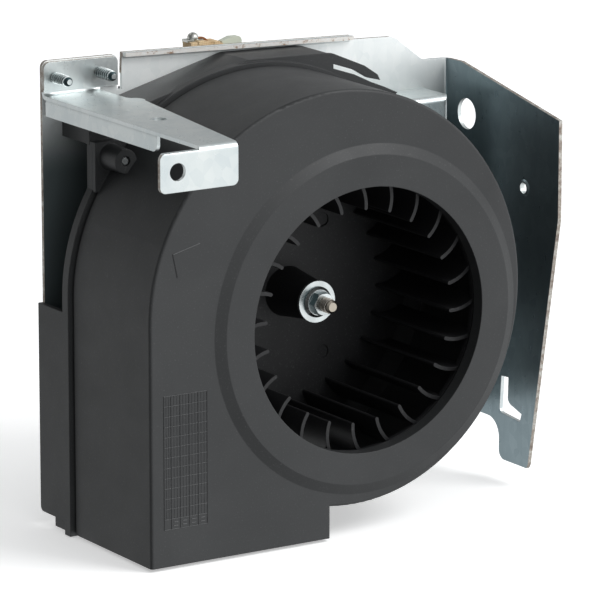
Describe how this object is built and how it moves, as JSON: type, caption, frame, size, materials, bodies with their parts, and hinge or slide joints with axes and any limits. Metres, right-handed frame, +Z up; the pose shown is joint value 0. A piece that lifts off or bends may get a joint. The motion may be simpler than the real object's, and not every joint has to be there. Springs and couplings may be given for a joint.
{
  "type": "combustion fan",
  "caption": "Scroll-housed centrifugal fan with a forward-curved wheel, sheet-steel mounting brackets and a shaded-pole motor behind.",
  "frame": {"origin": "on the shaft axis, in the front plane of the raised ring round the air inlet", "axes": "+X right and +Z up seen from the inlet, +Y back along the shaft towards the motor"},
  "size_m": [0.1976, 0.1715, 0.1754],
  "materials": {
    "housing_plastic": "moulded black plastic, fine satin grain",
    "wheel_plastic": "moulded black plastic, satin",
    "sheet_steel": "zinc-coated sheet steel, lightly rolled grain",
    "zinc_screw": "bright zinc-plated steel",
    "dark_screw": "plain steel with a light oil film",
    "shaft_steel": "ground steel, slightly browned",
    "lamination": "stacked electrical steel sheets",
    "nylon": "natural nylon, faint green-grey",
    "winding": "enamelled copper wire under varnish",
    "tape": "varnished tan glass-cloth tape",
    "copper": "bare copper",
    "cast_alloy": "die-cast, slightly matt",
    "rotor_alloy": "cast end rings, matt",
    "bronze": "oil-soaked sintered bronze",
    "spring_steel": "spring steel, satin",
    "tin": "tinned brass"
  },
  "bodies": {
    "frame": {"front_shell": "housing_plastic", "rear_shell": "housing_plastic", "rear_plate": "sheet_steel", "arm_bracket": "sheet_steel", "motor_pan": "sheet_steel", "shell_screws": "zinc_screw", "pan_screws": "zinc_screw", "duct_screws": "zinc_screw", "arm_screws": "dark_screw", "stator_core": "lamination", "coil_limb": "lamination", "shading_rings": "copper", "coil_bobbin": "nylon", "coil_winding": "winding", "coil_tape": "tape", "thermal_fuse": "tape", "coil_terminal": "tin", "terminal_tabs": "tin", "front_bearing": "bronze", "rear_bearing": "bronze", "front_bearing_bracket": "cast_alloy", "rear_bearing_bracket": "cast_alloy", "bearing_clips": "spring_steel", "bolt_washers": "zinc_screw", "through_bolts": "zinc_screw"},
    "rotor": {"impeller_disc": "wheel_plastic", "impeller_blades": "wheel_plastic", "impeller_ring": "wheel_plastic", "impeller_washer": "zinc_screw", "flange_nut": "zinc_screw", "motor_shaft": "shaft_steel", "rotor_core": "lamination", "rotor_end_rings": "rotor_alloy", "thrust_spacers": "nylon"}
  },
  "joints": [
    {"name": "impeller_spin", "type": "hinge", "parent": "frame", "child": "rotor", "pos_m": [0, 0.1, 0], "axis": [0, 1, 0], "continuous": true}
  ]
}
